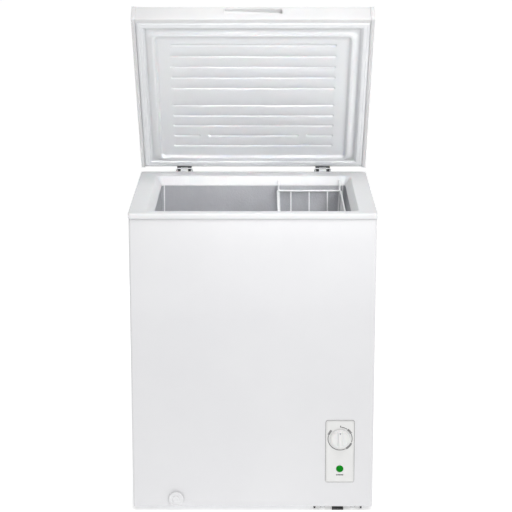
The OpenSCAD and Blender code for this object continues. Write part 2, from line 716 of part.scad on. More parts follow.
// two rims and a floor frame, cross wires both ways, corner posts and four hooks over the rim's throat
module basket() {
    l = basket_l;
    r = basket_r;
    f = basket_f;
    b = basket_b;
    top = basket_top;
    low = basket_top - basket_h;
    for (z = [[top, 0, frame_wire], [top - 60, 3, mesh_wire], [low, taper, frame_wire]])
        wire([[l + z[1], f + z[1], z[0]], [r - z[1], f + z[1], z[0]], [r - z[1], b - z[1], z[0]],
            [l + z[1], b - z[1], z[0]], [l + z[1], f + z[1], z[0]]], z[2]);
    for (share = [0.21, 0.5, 0.79]) {
        x = l + (r - l) * share;
        wire([[x, f, top], [x, f + taper, low], [x, b - taper, low], [x, b, top]], mesh_wire);
    }
    for (i = [1 : 7]) {
        y = f + (b - f) * i / 8;
        wire([[l, y, top], [l + taper, y, low], [r - taper, y, low], [r, y, top]], mesh_wire);
    }
    for (x = [l, r], y = [f, b]) bar([x, y, top], [x + (x < (l + r) / 2 ? taper : -taper),
        y + (y < cab_mid ? taper : -taper), low], mesh_wire);
    for (x = [l + 3, r - 3]) {
        wire([[x, b, top], [x, b, top + hook_z - 6], [x, b + hook_y, top + hook_z]], frame_wire);
        wire([[x, f, top], [x, f, top + hook_z - 6], [x, f - hook_y, top + hook_z]], frame_wire);
    }
}

module wire_basket() color("white") basket();

cabinet_wrap();
back_panel();
base_plate();
compartment_shell();
compressor_tray();
front_rail();
rail_bolts();
foot_front_left();
foot_front_right();
foot_rear_left();
foot_rear_right();
cabinet_foam();
inner_liner();
corner_strips();
rim_frame();
evaporator_coil();
condenser_coil();
compressor();
compressor_grommets();
relay_box();
filter_drier();
suction_pipe();
discharge_pipe();
rear_grille();
grille_screws();
power_inlet();
control_bezel();
thermostat();
lamp_holder();
indicator_lens();
drain_guide();
hinge_bracket_left();
hinge_bracket_right();
hinge_pin_left();
hinge_pin_right();
hinge_spring_left();
hinge_spring_right();
bracket_screws();
control_knob();
thermostat_shaft();
drain_spout();
drain_dial();
drain_plug();
wire_basket();
lid_shell();
lid_foam();
lid_liner();
lid_gasket();
lid_front_trim();
lid_handle_cup();
lid_side_trim_left();
lid_side_trim_right();
hinge_leaf_left();
hinge_leaf_right();
leaf_screws();
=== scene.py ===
import json
import math

import bmesh
import bpy
from mathutils import Matrix, Vector


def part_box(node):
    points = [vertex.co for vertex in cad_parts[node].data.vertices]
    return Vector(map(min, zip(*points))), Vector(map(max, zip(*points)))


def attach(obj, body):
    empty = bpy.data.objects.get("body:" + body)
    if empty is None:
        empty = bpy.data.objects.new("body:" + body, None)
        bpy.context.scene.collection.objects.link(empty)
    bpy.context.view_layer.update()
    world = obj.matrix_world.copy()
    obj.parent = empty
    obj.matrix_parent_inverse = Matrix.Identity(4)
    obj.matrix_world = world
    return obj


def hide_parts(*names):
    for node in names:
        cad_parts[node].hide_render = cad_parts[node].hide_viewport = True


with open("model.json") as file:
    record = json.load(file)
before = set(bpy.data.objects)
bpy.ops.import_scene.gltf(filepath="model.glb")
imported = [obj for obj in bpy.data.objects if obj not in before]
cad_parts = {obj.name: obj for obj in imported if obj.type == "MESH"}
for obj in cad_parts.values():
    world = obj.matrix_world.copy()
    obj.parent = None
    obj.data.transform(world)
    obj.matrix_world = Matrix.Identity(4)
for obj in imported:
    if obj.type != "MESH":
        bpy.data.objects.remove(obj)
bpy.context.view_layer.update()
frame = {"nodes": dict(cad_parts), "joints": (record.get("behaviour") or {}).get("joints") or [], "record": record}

MM = 0.001
JOINTS = {j["name"]: j for j in frame["joints"]}
SLOTS = {s["node"]: s["material_slot"] for s in frame["record"]["subparts"]}

# ---------------------------------------------------------------- frame dimensions

HINGE = Vector(JOINTS["lid_hinge"]["pos_m"])
LID_ANGLE = math.radians(-JOINTS["lid_hinge"]["range_deg"][0])
# Turns a point of the closed lid to where it stands at rest
OPEN = Matrix.Translation(HINGE) @ Matrix.Rotation(-LID_ANGLE, 4, "X") @ Matrix.Translation(-HINGE)


def closed_box(node):
    """Lowest and highest corner of a lid node as it lies with the lid shut."""
    back = OPEN.inverted()
    points = [back @ v.co for v in frame["nodes"][node].data.vertices]
    low = Vector([min(p[k] for p in points) for k in range(3)])
    high = Vector([max(p[k] for p in points) for k in range(3)])
    return low, high


wrap_lo, wrap_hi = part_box("cabinet_wrap")
rim_lo, rim_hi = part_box("rim_frame")
tank_lo, tank_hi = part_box("inner_liner")
bezel_lo, bezel_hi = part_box("control_bezel")
knob_lo, knob_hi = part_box("control_knob")
lens_lo, lens_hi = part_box("indicator_lens")
dial_lo, dial_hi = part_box("drain_dial")
liner_lo, liner_hi = closed_box("lid_liner")
seal_lo, seal_hi = closed_box("lid_gasket")
trim_lo, trim_hi = closed_box("lid_front_trim")
shell_lo, shell_hi = closed_box("lid_shell")
cup_lo, cup_hi = closed_box("lid_handle_cup")

TANK_SHEET = 0.8 * MM
STEEL_SHEET = 0.8 * MM
THROAT_W, THROAT_H = 14 * MM, 22 * MM
RIM_TOP = rim_hi.z
TANK_TOP = RIM_TOP - THROAT_H
tank_x = tank_hi.x - TANK_SHEET
tank_front = tank_lo.y + TANK_SHEET
tank_rear = tank_hi.y - TANK_SHEET

# ---------------------------------------------------------------- camera, light, floor

CAMERA_AT = (0.0193, -4.751, 1.788)
CAMERA_LENS = 127.2
# Degrees below level, and degrees turned to the left
CAMERA_PITCH, CAMERA_TURN = 13.85, 0.14
WORLD_STRENGTH = 0.56
FLOOR_SIZE = 30
FLOOR_GLOW = 0.50


def make_camera():
    """The photo's view: a long lens well in front of the freezer, looking a little down on it."""
    data = bpy.data.cameras.new("camera")
    data.lens = CAMERA_LENS
    data.sensor_width = 36
    camera = bpy.data.objects.new("camera", data)
    bpy.context.scene.collection.objects.link(camera)
    camera.location = CAMERA_AT
    camera.rotation_euler = (math.radians(90 - CAMERA_PITCH), 0, math.radians(CAMERA_TURN))
    bpy.context.scene.camera = camera


def area_light(name, at, aim, size, watts, spread=180):
    """A rectangular light that points at aim; spread is in degrees."""
    data = bpy.data.lights.new(name, "AREA")
    data.shape = "RECTANGLE"
    data.size, data.size_y = size
    data.energy = watts
    data.spread = math.radians(spread)
    light = bpy.data.objects.new(name, data)
    light.location = at
    light.rotation_euler = (Vector(aim) - Vector(at)).to_track_quat("-Z", "Y").to_euler()
    bpy.context.scene.collection.objects.link(light)


def make_lights():
    """A pale even studio, a soft key from the upper right and a narrow light into the open lid."""
    world = bpy.data.worlds.new("studio")
    bpy.context.scene.world = world
    world.use_nodes = True
    background = world.node_tree.nodes["Background"]
    background.inputs["Color"].default_value = (1.0, 1.0, 1.0, 1)
    background.inputs["Strength"].default_value = WORLD_STRENGTH
    area_light("key", at=(2.1, -3.0, 2.7), aim=(0.1, 0, 0.95), size=(0.8, 0.8), watts=3.7, spread=42)
    area_light("front_fill", at=(-0.9, -4.6, 1.0), aim=(0, 0.1, 0.9), size=(3.4, 1.6), watts=17)
    area_light("top_soft", at=(0.3, -1.1, 3.2), aim=(0, 0, 0.7), size=(1.2, 1.2), watts=3.3, spread=50)
    area_light("front_beam", at=(0.9, -3.6, 2.6), aim=(0, 0.12, 0.94), size=(0.5, 0.3), watts=0.31,
               spread=8)


def make_floor():
    """Pale paper that stays white out to its horizon."""
    bpy.ops.mesh.primitive_plane_add(size=FLOOR_SIZE, location=(0, 0, 0))
    floor = bpy.context.object
    floor.name = "floor"
    material = bpy.data.materials.new("floor_paper")
    material.use_nodes = True
    shader = material.node_tree.nodes["Principled BSDF"]
    shader.inputs["Base Color"].default_value = (0.93, 0.93, 0.93, 1)
    shader.inputs["Roughness"].default_value = 0.9
    shader.inputs["Specular IOR Level"].default_value = 0.1
    shader.inputs["Emission Color"].default_value = (1, 1, 1, 1)
    shader.inputs["Emission Strength"].default_value = FLOOR_GLOW
    floor.data.materials.append(material)


# ---------------------------------------------------------------- materials


def node(tree, kind, **inputs):
    """A new shader node with its sockets set; an underscore stands for a space."""
    made = tree.nodes.new(kind)
    for key, value in inputs.items():
        made.inputs[key.replace("_", " ")].default_value = value
    return made


def surface(name, low, high, rough, metallic=0.0, grain=400.0, relief=0.05, patch=6.0, coat=0.0,
            stretch=(1, 1, 1), specular=0.5, subsurface=0.0, emboss=None):
    """A material whose colour wanders between low and high, with varied roughness and a fine relief.

    grain is the relief's fineness and patch the colour's, in features a metre; relief is in millimetres.
    emboss adds a coarser relief of its own."""
    material = bpy.data.materials.new(name)
    material.use_nodes = True
    tree = material.node_tree
    shader = tree.nodes["Principled BSDF"]
    links = tree.links
    place = tree.nodes.new("ShaderNodeTexCoord")
    mapping = tree.nodes.new("ShaderNodeMapping")
    mapping.inputs["Scale"].default_value = stretch
    links.new(place.outputs["Object"], mapping.inputs["Vector"])

    cloud = node(tree, "ShaderNodeTexNoise", Scale=patch, Detail=5.0, Roughness=0.6)
    links.new(mapping.outputs["Vector"], cloud.inputs["Vector"])
    ramp = tree.nodes.new("ShaderNodeValToRGB")
    ramp.color_ramp.elements[0].position = 0.3
    ramp.color_ramp.elements[1].position = 0.7
    ramp.color_ramp.elements[0].color = (*low, 1)
    ramp.color_ramp.elements[1].color = (*high, 1)
    links.new(cloud.outputs["Fac"], ramp.inputs["Fac"])
    links.new(ramp.outputs["Color"], shader.inputs["Base Color"])

    fine = node(tree, "ShaderNodeTexNoise", Scale=grain, Detail=3.0, Roughness=0.55)
    links.new(mapping.outputs["Vector"], fine.inputs["Vector"])
    spread = tree.nodes.new("ShaderNodeMapRange")
    spread.inputs["To Min"].default_value = rough[0]
    spread.inputs["To Max"].default_value = rough[1]
    # the sheen varies in patches a fifth the size of the colour's
    blend = node(tree, "ShaderNodeTexNoise", Scale=patch * 5, Detail=4.0)
    links.new(mapping.outputs["Vector"], blend.inputs["Vector"])
    links.new(blend.outputs["Fac"], spread.inputs["Value"])
    links.new(spread.outputs["Result"], shader.inputs["Roughness"])

    bump = tree.nodes.new("ShaderNodeBump")
    bump.inputs["Strength"].default_value = 1.0
    bump.inputs["Distance"].default_value = relief * MM
    links.new(fine.outputs["Fac"], bump.inputs["Height"])
    normal = bump.outputs["Normal"]
    if emboss:
        normal = emboss(tree, mapping.outputs["Vector"], normal)
    links.new(normal, shader.inputs["Normal"])

    shader.inputs["Metallic"].default_value = metallic
    shader.inputs["Coat Weight"].default_value = coat
    shader.inputs["Coat Roughness"].default_value = 0.2
    shader.inputs["Specular IOR Level"].default_value = specular
    shader.inputs["Subsurface Weight"].default_value = subsurface
    shader.inputs["Subsurface Scale"].default_value = 0.002
    return material


def stucco(tree, vector, normal):
    """Embossed aluminium: rounded cells a few millimetres across, in wavering rows."""
    cells_a_metre, emboss_depth = 230.0, 0.55 * MM
    links = tree.links
    warp = node(tree, "ShaderNodeTexNoise", Scale=160.0, Detail=2.0)
    links.new(vector, warp.inputs["Vector"])
    shift = tree.nodes.new("ShaderNodeMixRGB")
    shift.blend_type = "LINEAR_LIGHT"
    shift.inputs["Fac"].default_value = 0.006
    links.new(vector, shift.inputs["Color1"])
    links.new(warp.outputs["Color"], shift.inputs["Color2"])
    cells = tree.nodes.new("ShaderNodeTexVoronoi")
    cells.feature = "SMOOTH_F1"
    cells.inputs["Scale"].default_value = cells_a_metre
    cells.inputs["Smoothness"].default_value = 0.6
    links.new(shift.outputs["Color"], cells.inputs["Vector"])
    bump = tree.nodes.new("ShaderNodeBump")
    bump.inputs["Distance"].default_value = emboss_depth
    bump.inputs["Strength"].default_value = 0.9
    links.new(cells.outputs["Distance"], bump.inputs["Height"])
    links.new(normal, bump.inputs["Normal"])
    return bump.outputs["Normal"]


FINISHES = {
    "painted_white": dict(low=(0.635, 0.635, 0.65), high=(0.67, 0.67, 0.68), rough=(0.40, 0.50),
                          grain=750, relief=0.012, patch=2.5, coat=0.05, specular=0.35),
    "rim_plastic": dict(low=(0.68, 0.69, 0.70), high=(0.72, 0.725, 0.735), rough=(0.30, 0.42),
                        grain=2200, relief=0.015, patch=5, subsurface=0.05),
    "lid_plastic": dict(low=(0.71, 0.72, 0.735), high=(0.75, 0.76, 0.77), rough=(0.28, 0.38),
                        grain=1600, relief=0.012, patch=4, subsurface=0.05),
    "trim_plastic": dict(low=(0.60, 0.60, 0.605), high=(0.64, 0.64, 0.645), rough=(0.30, 0.40),
                         grain=1900, relief=0.012, patch=6, subsurface=0.05),
    "seal_rubber": dict(low=(0.70, 0.71, 0.73), high=(0.74, 0.75, 0.76), rough=(0.55, 0.7),
                        grain=900, relief=0.03, patch=25, specular=0.3),
    "tank_aluminium": dict(low=(0.45, 0.46, 0.485), high=(0.53, 0.54, 0.565), rough=(0.42, 0.58),
                           metallic=0.35, grain=500, relief=0.05, patch=9, emboss=stucco),
    "foam": dict(low=(0.80, 0.68, 0.40), high=(0.90, 0.80, 0.52), rough=(0.8, 0.95),
                 grain=900, relief=0.4, patch=30),
    "zinc_steel": dict(low=(0.50, 0.51, 0.52), high=(0.66, 0.67, 0.67), rough=(0.28, 0.48),
                       metallic=0.9, grain=1500, relief=0.02, patch=90, stretch=(1, 1, 0.3)),
    "dark_steel": dict(low=(0.10, 0.105, 0.11), high=(0.19, 0.195, 0.20), rough=(0.35, 0.55),
                       metallic=0.85, grain=1200, relief=0.03, patch=120),
    "black_steel": dict(low=(0.012, 0.012, 0.013), high=(0.03, 0.03, 0.032), rough=(0.3, 0.5),
                        grain=500, relief=0.05, patch=20),
    "black_rubber": dict(low=(0.010, 0.010, 0.011), high=(0.022, 0.022, 0.023), rough=(0.6, 0.8),
                         grain=1500, relief=0.05, patch=60, specular=0.3),
    "galvanised": dict(low=(0.40, 0.41, 0.43), high=(0.58, 0.59, 0.61), rough=(0.35, 0.6),
                       metallic=0.8, grain=300, relief=0.03, patch=45),
    "back_steel": dict(low=(0.66, 0.67, 0.68), high=(0.72, 0.73, 0.74), rough=(0.4, 0.55),
                       grain=650, relief=0.02, patch=4),
    "copper": dict(low=(0.42, 0.17, 0.09), high=(0.62, 0.29, 0.16), rough=(0.3, 0.5),
                   metallic=0.95, grain=900, relief=0.03, patch=60),
    "panel_plastic": dict(low=(0.66, 0.66, 0.655), high=(0.70, 0.70, 0.69), rough=(0.32, 0.42),
                          grain=2400, relief=0.02, patch=12),
    "knob_plastic": dict(low=(0.67, 0.67, 0.665), high=(0.72, 0.72, 0.715), rough=(0.25, 0.35),
                         grain=2600, relief=0.008, patch=30, subsurface=0.05),
    "green_lens": dict(low=(0.001, 0.17, 0.006), high=(0.002, 0.23, 0.010), rough=(0.16, 0.24),
                       grain=1200, relief=0.01, patch=160, specular=0.06),
    "black_plastic": dict(low=(0.015, 0.015, 0.016), high=(0.03, 0.03, 0.03), rough=(0.4, 0.55),
                          grain=2000, relief=0.03, patch=50),
    "basket_coat": dict(low=(0.84, 0.85, 0.86), high=(0.91, 0.91, 0.915), rough=(0.30, 0.45),
                        grain=420, relief=0.06, patch=40),
    "drain_plastic": dict(low=(0.66, 0.66, 0.67), high=(0.70, 0.70, 0.71), rough=(0.32, 0.45),
                          grain=2000, relief=0.015, patch=30),
    # the dial's print; the same grey also paints the shadow ring round the control plate
    "print_and_shadow_grey": dict(low=(0.035, 0.035, 0.038), high=(0.06, 0.06, 0.065), rough=(0.5, 0.6),
                       grain=3000, relief=0.01, patch=80, specular=0.2),
    # the tank's white seam strips, lightened beyond their own white so they stay bright in the tank's shade:
    # partly painted light
    "seam_white_and_painted_light": dict(low=(0.88, 0.88, 0.89), high=(0.94, 0.94, 0.945), rough=(0.35, 0.5),
                        grain=1800, relief=0.02, patch=20),
}
MATERIALS = {name: surface(name, **finish) for name, finish in FINISHES.items()}


# ---------------------------------------------------------------- mesh tools


def shade(mesh, sharp=32):
    """Smooth shading, with a crease where faces meet at more than the given angle."""
    for face in mesh.polygons:
        face.use_smooth = True
    mesh.set_sharp_from_angle(angle=math.radians(sharp))


def finish_mesh(obj, material, sharp=32):
    """Welds a mesh, turns its faces outward, shades it and gives it its material."""
    mesh = obj.data
    shape = bmesh.new()
    shape.from_mesh(mesh)
    bmesh.ops.remove_doubles(shape, verts=shape.verts, dist=1e-6)
    bmesh.ops.recalc_face_normals(shape, faces=shape.faces)
    shape.to_mesh(mesh)
    shape.free()
    shade(mesh, sharp)
    mesh.materials.clear()
    mesh.materials.append(material)


def object_from(name, skin, shut, slot, sharp=32):
    """An object from vertices and faces. shut says that the points are those of the closed lid."""
    verts, faces = skin
    if shut:
        verts = [OPEN @ Vector(v) for v in verts]
    mesh = bpy.data.meshes.new(name)
    mesh.from_pydata([tuple(v) for v in verts], [], faces)
    obj = bpy.data.objects.new(name, mesh)
    bpy.context.scene.collection.objects.link(obj)
    finish_mesh(obj, MATERIALS[slot], sharp)
    return obj


def piece(name, skin, slot, body, nodes=(), shut=False, sharp=32):
    """A piece of the freezer that rides on a body, and may stand in for CAD nodes."""
    obj = object_from(name, skin, shut, slot, sharp)
    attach(obj, body)
    if nodes:
        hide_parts(*nodes)
    return obj


def soften(obj, width, angle=35):
    """Rounds an object's sharp edges."""
    bevel = obj.modifiers.new("edge", "BEVEL")
    bevel.width = width
    bevel.segments = 2
    bevel.limit_method = "ANGLE"
    bevel.angle_limit = math.radians(angle)
    bevel.harden_normals = True


def thicken(obj, depth):
    """Gives a skin the thickness of its sheet, on the side away from its faces."""
    shell = obj.modifiers.new("sheet", "SOLIDIFY")
    shell.thickness = depth
    shell.offset = -1


def face_towards(obj, way):
    """Turns a lid skin so that its largest face looks the given way when the lid is shut."""
    largest = max(obj.data.polygons, key=lambda p: p.area)
    if largest.normal.dot(OPEN.to_3x3() @ Vector(way)) < 0:
        obj.data.flip_normals()


def level(loop, z):
    """Pairs (x, y) laid flat at a height."""
    return [Vector((x, y, z)) for x, y in loop]


def upright(loop, y):
    """Pairs (x, z) stood up facing the front."""
    return [Vector((x, y, z)) for x, z in loop]


def sideways(loop, x):
    """Pairs (y, z) stood up facing the side."""
    return [Vector((x, y, z)) for y, z in loop]


def arc(cx, cy, r, start, end, n):
    """Points of an arc in n steps, with its angles in degrees."""
    turn = [math.radians(start + (end - start) * i / n) for i in range(n + 1)]
    return [(cx + r * math.cos(a), cy + r * math.sin(a)) for a in turn]


def round_loop(x0, y0, x1, y1, r, n=6):
    """A rectangle with round corners, the same number of points for any radius."""
    r = max(r, 0.05 * MM)
    return (arc(x1 - r, y1 - r, r, 0, 90, n) + arc(x0 + r, y1 - r, r, 90, 180, n)
            + arc(x0 + r, y0 + r, r, 180, 270, n) + arc(x1 - r, y0 + r, r, 270, 360, n))


def loft(rows, closed=True, cap=(False, False), wrap_rows=False):
    """Vertices and faces of a skin through rows of points that match one for one."""
    count = len(rows[0])
    verts = [p for row in rows for p in row]
    faces = []
    last = count if closed else count - 1
    pairs = [(i, i + 1) for i in range(len(rows) - 1)]
    if wrap_rows:
        pairs.append((len(rows) - 1, 0))
    for a, b in pairs:
        for j in range(last):
            k = (j + 1) % count
            faces.append((a * count + j, a * count + k, b * count + k, b * count + j))
    if cap[0]:
        faces.append(tuple(range(count - 1, -1, -1)))
    if cap[1]:
        faces.append(tuple((len(rows) - 1) * count + j for j in range(count)))
    return verts, faces


def join_parts(parts):
    """Several skins as one."""
    verts, faces = [], []
    for v, f in parts:
        base = len(verts)
        verts += list(v)
        faces += [tuple(i + base for i in face) for face in f]
    return verts, faces


def clock_circle(centre, r, y, n):
    """A circle that faces the front, from twelve o'clock round, about the middle of a part."""
    turn = [2 * math.pi * i / n for i in range(n)]
    return upright([(centre.x + r * math.sin(a), centre.z + r * math.cos(a)) for a in turn], y)


def turned(profile, centre, back, n):
    """A turned shape that faces the front. The profile is (radius, height out from back)."""
    rows = [clock_circle(centre, max(r, 0.01 * MM), back - h, n) for r, h in profile]
    return loft(rows, cap=(True, True))


def block(lo, hi):
    """The corners and faces of a box."""
    loop = [(lo[0], lo[1]), (hi[0], lo[1]), (hi[0], hi[1]), (lo[0], hi[1])]
    return loft([level(loop, z) for z in (lo[2], hi[2])], cap=(True, True))


def bent(points, r, n=4):
    """The points of an open wire route whose corners are rounded to radius r."""
    points = [Vector(p) for p in points]
    path = [points[0]]
    for last, p, following in zip(points, points[1:], points[2:]):
        before, after = last - p, following - p
        reach = min(r, before.length * 0.45, after.length * 0.45)
        a = p + before.normalized() * reach
        b = p + after.normalized() * reach
        for t in [k / n for k in range(n + 1)]:
            path.append(a * (1 - t) ** 2 + p * 2 * t * (1 - t) + b * t ** 2)
    path.append(points[-1])
    return path


def tube(points, r, closed=False, sides=12):
    """A round wire along points, with round ends where it is open."""
    count = len(points)
    rows, ways = [], []
    side = None
    for i, p in enumerate(points):
        if closed:
            way = points[(i + 1) % count] - points[i - 1]
        else:
            way = points[min(i + 1, count - 1)] - points[max(i - 1, 0)]
        way.normalize()
        if side is None:
            side = way.orthogonal().normalized()
        side = (side - way * side.dot(way)).normalized()
        other = way.cross(side)
        turn = [2 * math.pi * k / sides for k in range(sides)]
        row = [p + (side * math.cos(a) + other * math.sin(a)) * r for a in turn]
        rows.append(row)
        ways.append(way)
    if closed:
        return loft(rows, wrap_rows=True)

    def tip(end, out, share):
        middle = points[end]
        return [middle + out + (q - middle) * share for q in rows[end]]

    # two shrinking rings round each open end off
    start, finish = -r * ways[0], r * ways[-1]
    before = [tip(0, start * 0.8, 0.35), tip(0, start * 0.5, 0.8)]
    after = [tip(-1, finish * 0.5, 0.8), tip(-1, finish * 0.8, 0.35)]
    return loft(before + rows + after, cap=(True, True))


def smooth(t):
    """An even rise from 0 to 1, held at both ends."""
    t = min(max(t, 0.0), 1.0)
    return t * t * (3 - 2 * t)


# ---------------------------------------------------------------- cabinet


def wrap_path(offset):
    """The wrap's plan, offset inward: from the left rear flange round the front to the right one."""
    corner, fold, flange = 6 * MM, 1.6 * MM, 14 * MM
    x, front, rear = wrap_hi.x, wrap_lo.y, wrap_hi.y
    c = max(corner - offset, 0.3 * MM)
    f = max(fold - offset, 0.2 * MM)
    path = [(-x + flange, rear - offset)]
    path += arc(-x + offset + f, rear - offset - f, f, 90, 180, 4)
    path += arc(-x + offset + c, front + offset + c, c, 180, 270, 8)
    path += arc(x - offset - c, front + offset + c, c, 270, 360, 8)
    path += arc(x - offset - f, rear - offset - f, f, 0, 90, 4)
    path += [(x - flange, rear - offset)]
    return path


def make_wrap():
    """The painted sheet round the front and sides, with a hem rolled in along its lower edge."""
    hem, hem_depth = 2 * MM, 11 * MM
    base = wrap_lo.z
    waist = base + 500 * MM
    profile = [(0, wrap_hi.z), (0, waist), (0, base + hem)]
    profile += [(hem - hem * math.cos(math.radians(a)), base + hem - hem * math.sin(math.radians(a)))
                for a in (22.5, 45, 67.5, 90)]
    profile += [(hem_depth, base)]
    skin = loft([level(wrap_path(offset), z) for offset, z in profile], closed=False)
    thicken(piece("cabinet_wrap_skin", skin, "painted_white", "cabinet", ["cabinet_wrap"]), STEEL_SHEET)


def grown(box, d):
    """A flat box (x0, y0, x1, y1), larger by d on every side."""
    return (box[0] - d, box[1] - d, box[2] + d, box[3] + d)


def fillet(d, z, r, start, end, n=5):
    """Points (d, z) of a rounding about a centre, with angles from straight up towards the tank."""
    turn = [math.radians(start + (end - start) * i / n) for i in range(n + 1)]
    return [(d - r * math.sin(a), z + r * math.cos(a)) for a in turn]


def make_rim():
    """The rim moulding: outer band, flat top, sloping throat and the lip that covers the tank's edge."""
    outer = (rim_lo.x, rim_lo.y, rim_hi.x, rim_hi.y)
    inner = (-tank_x, tank_front, tank_x, tank_rear)
    top, band, corner = RIM_TOP, RIM_TOP - 14 * MM, 8 * MM
    edge, brow, lip, proud = 2.5 * MM, 4 * MM, 2 * MM, 0.8 * MM
    throat_corner, mouth_corner = 6 * MM, 18 * MM
    steep = math.atan2(THROAT_H, THROAT_W)
    rings = [(grown(outer, -2 * MM), corner, band), (grown(outer, -0.5 * MM), corner, band),
             (outer, corner, band + 0.6 * MM)]
    rings += [(grown(outer, d), corner, z) for d, z in fillet(-edge, top - edge, edge, -90, 0)]
    slope = fillet(THROAT_W + brow * math.tan(steep / 2), top - brow, brow, 0, math.degrees(steep))
    heart = lip - proud
    low = TANK_TOP + (heart - lip * math.sin(steep)) * math.tan(steep) - lip * math.cos(steep)
    slope += fillet(heart, low, lip, math.degrees(steep), 90)
    slope += [(-proud, low - 2 * MM), (-0.5 * MM, low - 2.4 * MM), (0.4 * MM, low - 2.4 * MM)]
    for d, z in slope:
        share = min(max(d / THROAT_W, 0), 1)
        rings.append((grown(inner, d), throat_corner + (mouth_corner - throat_corner) * share, z))
    rows = [level(round_loop(*box, r, 12), z) for box, r, z in rings]
    piece("rim_moulding", loft(rows), "rim_plastic", "cabinet", ["rim_frame"], sharp=50)


def make_basket():
    """Coated round wire: two frame rings, a lighter ring between, U-shaped mesh wires and four hooks."""
    thick, thin = 2.5 * MM, 1.75 * MM
    taper, bend, hook_bend = 10 * MM, 9 * MM, 7 * MM
    left, right = 67 * MM, 242 * MM
    gap = 13 * MM
    front, rear = tank_front + gap, tank_rear - gap
    top, low = RIM_TOP - 37 * MM, RIM_TOP - 217 * MM
    wires = []

    # a closed wire at a height, inset from the top ring's plan
    def ring(z, inset, radius):
        loop = round_loop(left + inset, front + inset, right - inset, rear - inset, bend, 5)
        wires.append(tube(level(loop, z), radius, closed=True))

    ring(top, 0, thick)
    ring(top - 60 * MM, taper / 3 + 1 * MM, thin)
    ring(low, taper, thick)
    for share in (0.21, 0.5, 0.79):
        x = left + (right - left) * share
        wires.append(tube(bent([(x, front, top), (x, front + taper, low), (x, rear - taper, low),
                                (x, rear, top)], bend), thin))
    for i in range(1, 8):
        y = front + (rear - front) * i / 8
        wires.append(tube(bent([(left, y, top), (left + taper, y, low), (right - taper, y, low),
                                (right, y, top)], bend), thin))
    # the hooks run up the four corners and out over the rim
    rise, over, reach = 20 * MM, 26 * MM, 16 * MM
    for x, lean in ((left + 3 * MM, taper), (right - 3 * MM, -taper)):
        for y, way in ((rear, 1), (front, -1)):
            wires.append(tube(bent([(x + lean, y - way * taper, low), (x, y, top), (x, y, top + rise),
                                    (x, y + way * reach, top + over)], hook_bend), thick * 0.9))
    piece("basket_wires", join_parts(wires), "basket_coat", "basket", ["wire_basket"], sharp=60)


# ---------------------------------------------------------------- lid

# The raised bead round the inner panel, and the low pillow inside it
BEAD = 8.2 * MM
BEAD_BAND = 8.8 * MM
BEAD_CORNER = 16 * MM
BEAD_FLANK = 5.6 * MM
SIDE_LEAN = 9.4 * MM
PILLOW, PILLOW_EDGE = 2.2 * MM, 34 * MM
PANEL_SHEET = 1.6 * MM
# The bead's outline, and the grooves from the rear forward, measured from the lid's rear edge
BEAD_X = 280 * MM
BEAD_FRONT, BEAD_REAR = shell_hi.y - 515 * MM, shell_hi.y - 30 * MM
GROOVES_AT = [shell_hi.y - (first + 39.2 * i) * MM for first in (88.5, 310.5) for i in range(5)]
GROOVE_END = 216 * MM
GROOVE_BREAK = (121 * MM, 150 * MM)
GROOVE_DEEP = 3.0 * MM
GROOVE_HALF, GROOVE_FLANK = 4.2 * MM, 2.2 * MM


def bead_height(x, y):
    """How far the inner panel stands out at a point: the raised bead and the low pillow inside it."""
    qx = abs(x) - (BEAD_X - SIDE_LEAN - BEAD_BAND - BEAD_CORNER)
    qy = abs(y - (BEAD_FRONT + BEAD_REAR) / 2) - ((BEAD_REAR - BEAD_FRONT) / 2 - BEAD_BAND - BEAD_CORNER)
    away = math.hypot(max(qx, 0), max(qy, 0)) + min(max(qx, qy), 0) - BEAD_CORNER
    # the bead's outer flank is gentler along the two sides than along the front and the rear
    side = 0
    if away > 0:
        side = max(qx, 0) ** 2 / max(max(qx, 0) ** 2 + max(qy, 0) ** 2, 1e-12)
    rise = (BEAD_BAND + side * SIDE_LEAN - abs(away)) / (BEAD_FLANK + side * SIDE_LEAN)
    ridge = (1 - side) * smooth(rise) + side * min(max(rise, 0), 1) ** 2
    pillow = smooth((-away - BEAD_BAND * 0.6) / PILLOW_EDGE)
    return BEAD * ridge + PILLOW * pillow


def groove_lines():
    """Every groove as (start, end, place); the second from the rear is broken into three."""
    near, far = GROOVE_BREAK
    lines = [(-GROOVE_END, GROOVE_END, y) for y in GROOVES_AT]
    y = GROOVES_AT[1]
    lines[1:2] = [(-GROOVE_END, -far, y), (-near, near, y), (far, GROOVE_END, y)]
    return lines


def groove_dip(x, y, lines):
    """The grooves' share of their full depth at a point."""
    dip = 0.0
    for start, end, place in lines:
        away = math.hypot(max(start - x, x - end, 0), y - place)
        dip = max(dip, smooth((GROOVE_HALF - away) / GROOVE_FLANK))
    return dip


def spaced(values):
    """Sorted grid lines, without those that nearly fall together."""
    kept = []
    for v in sorted(values):
        if not kept or v - kept[-1] > 0.35 * MM:
            kept.append(v)
    return kept


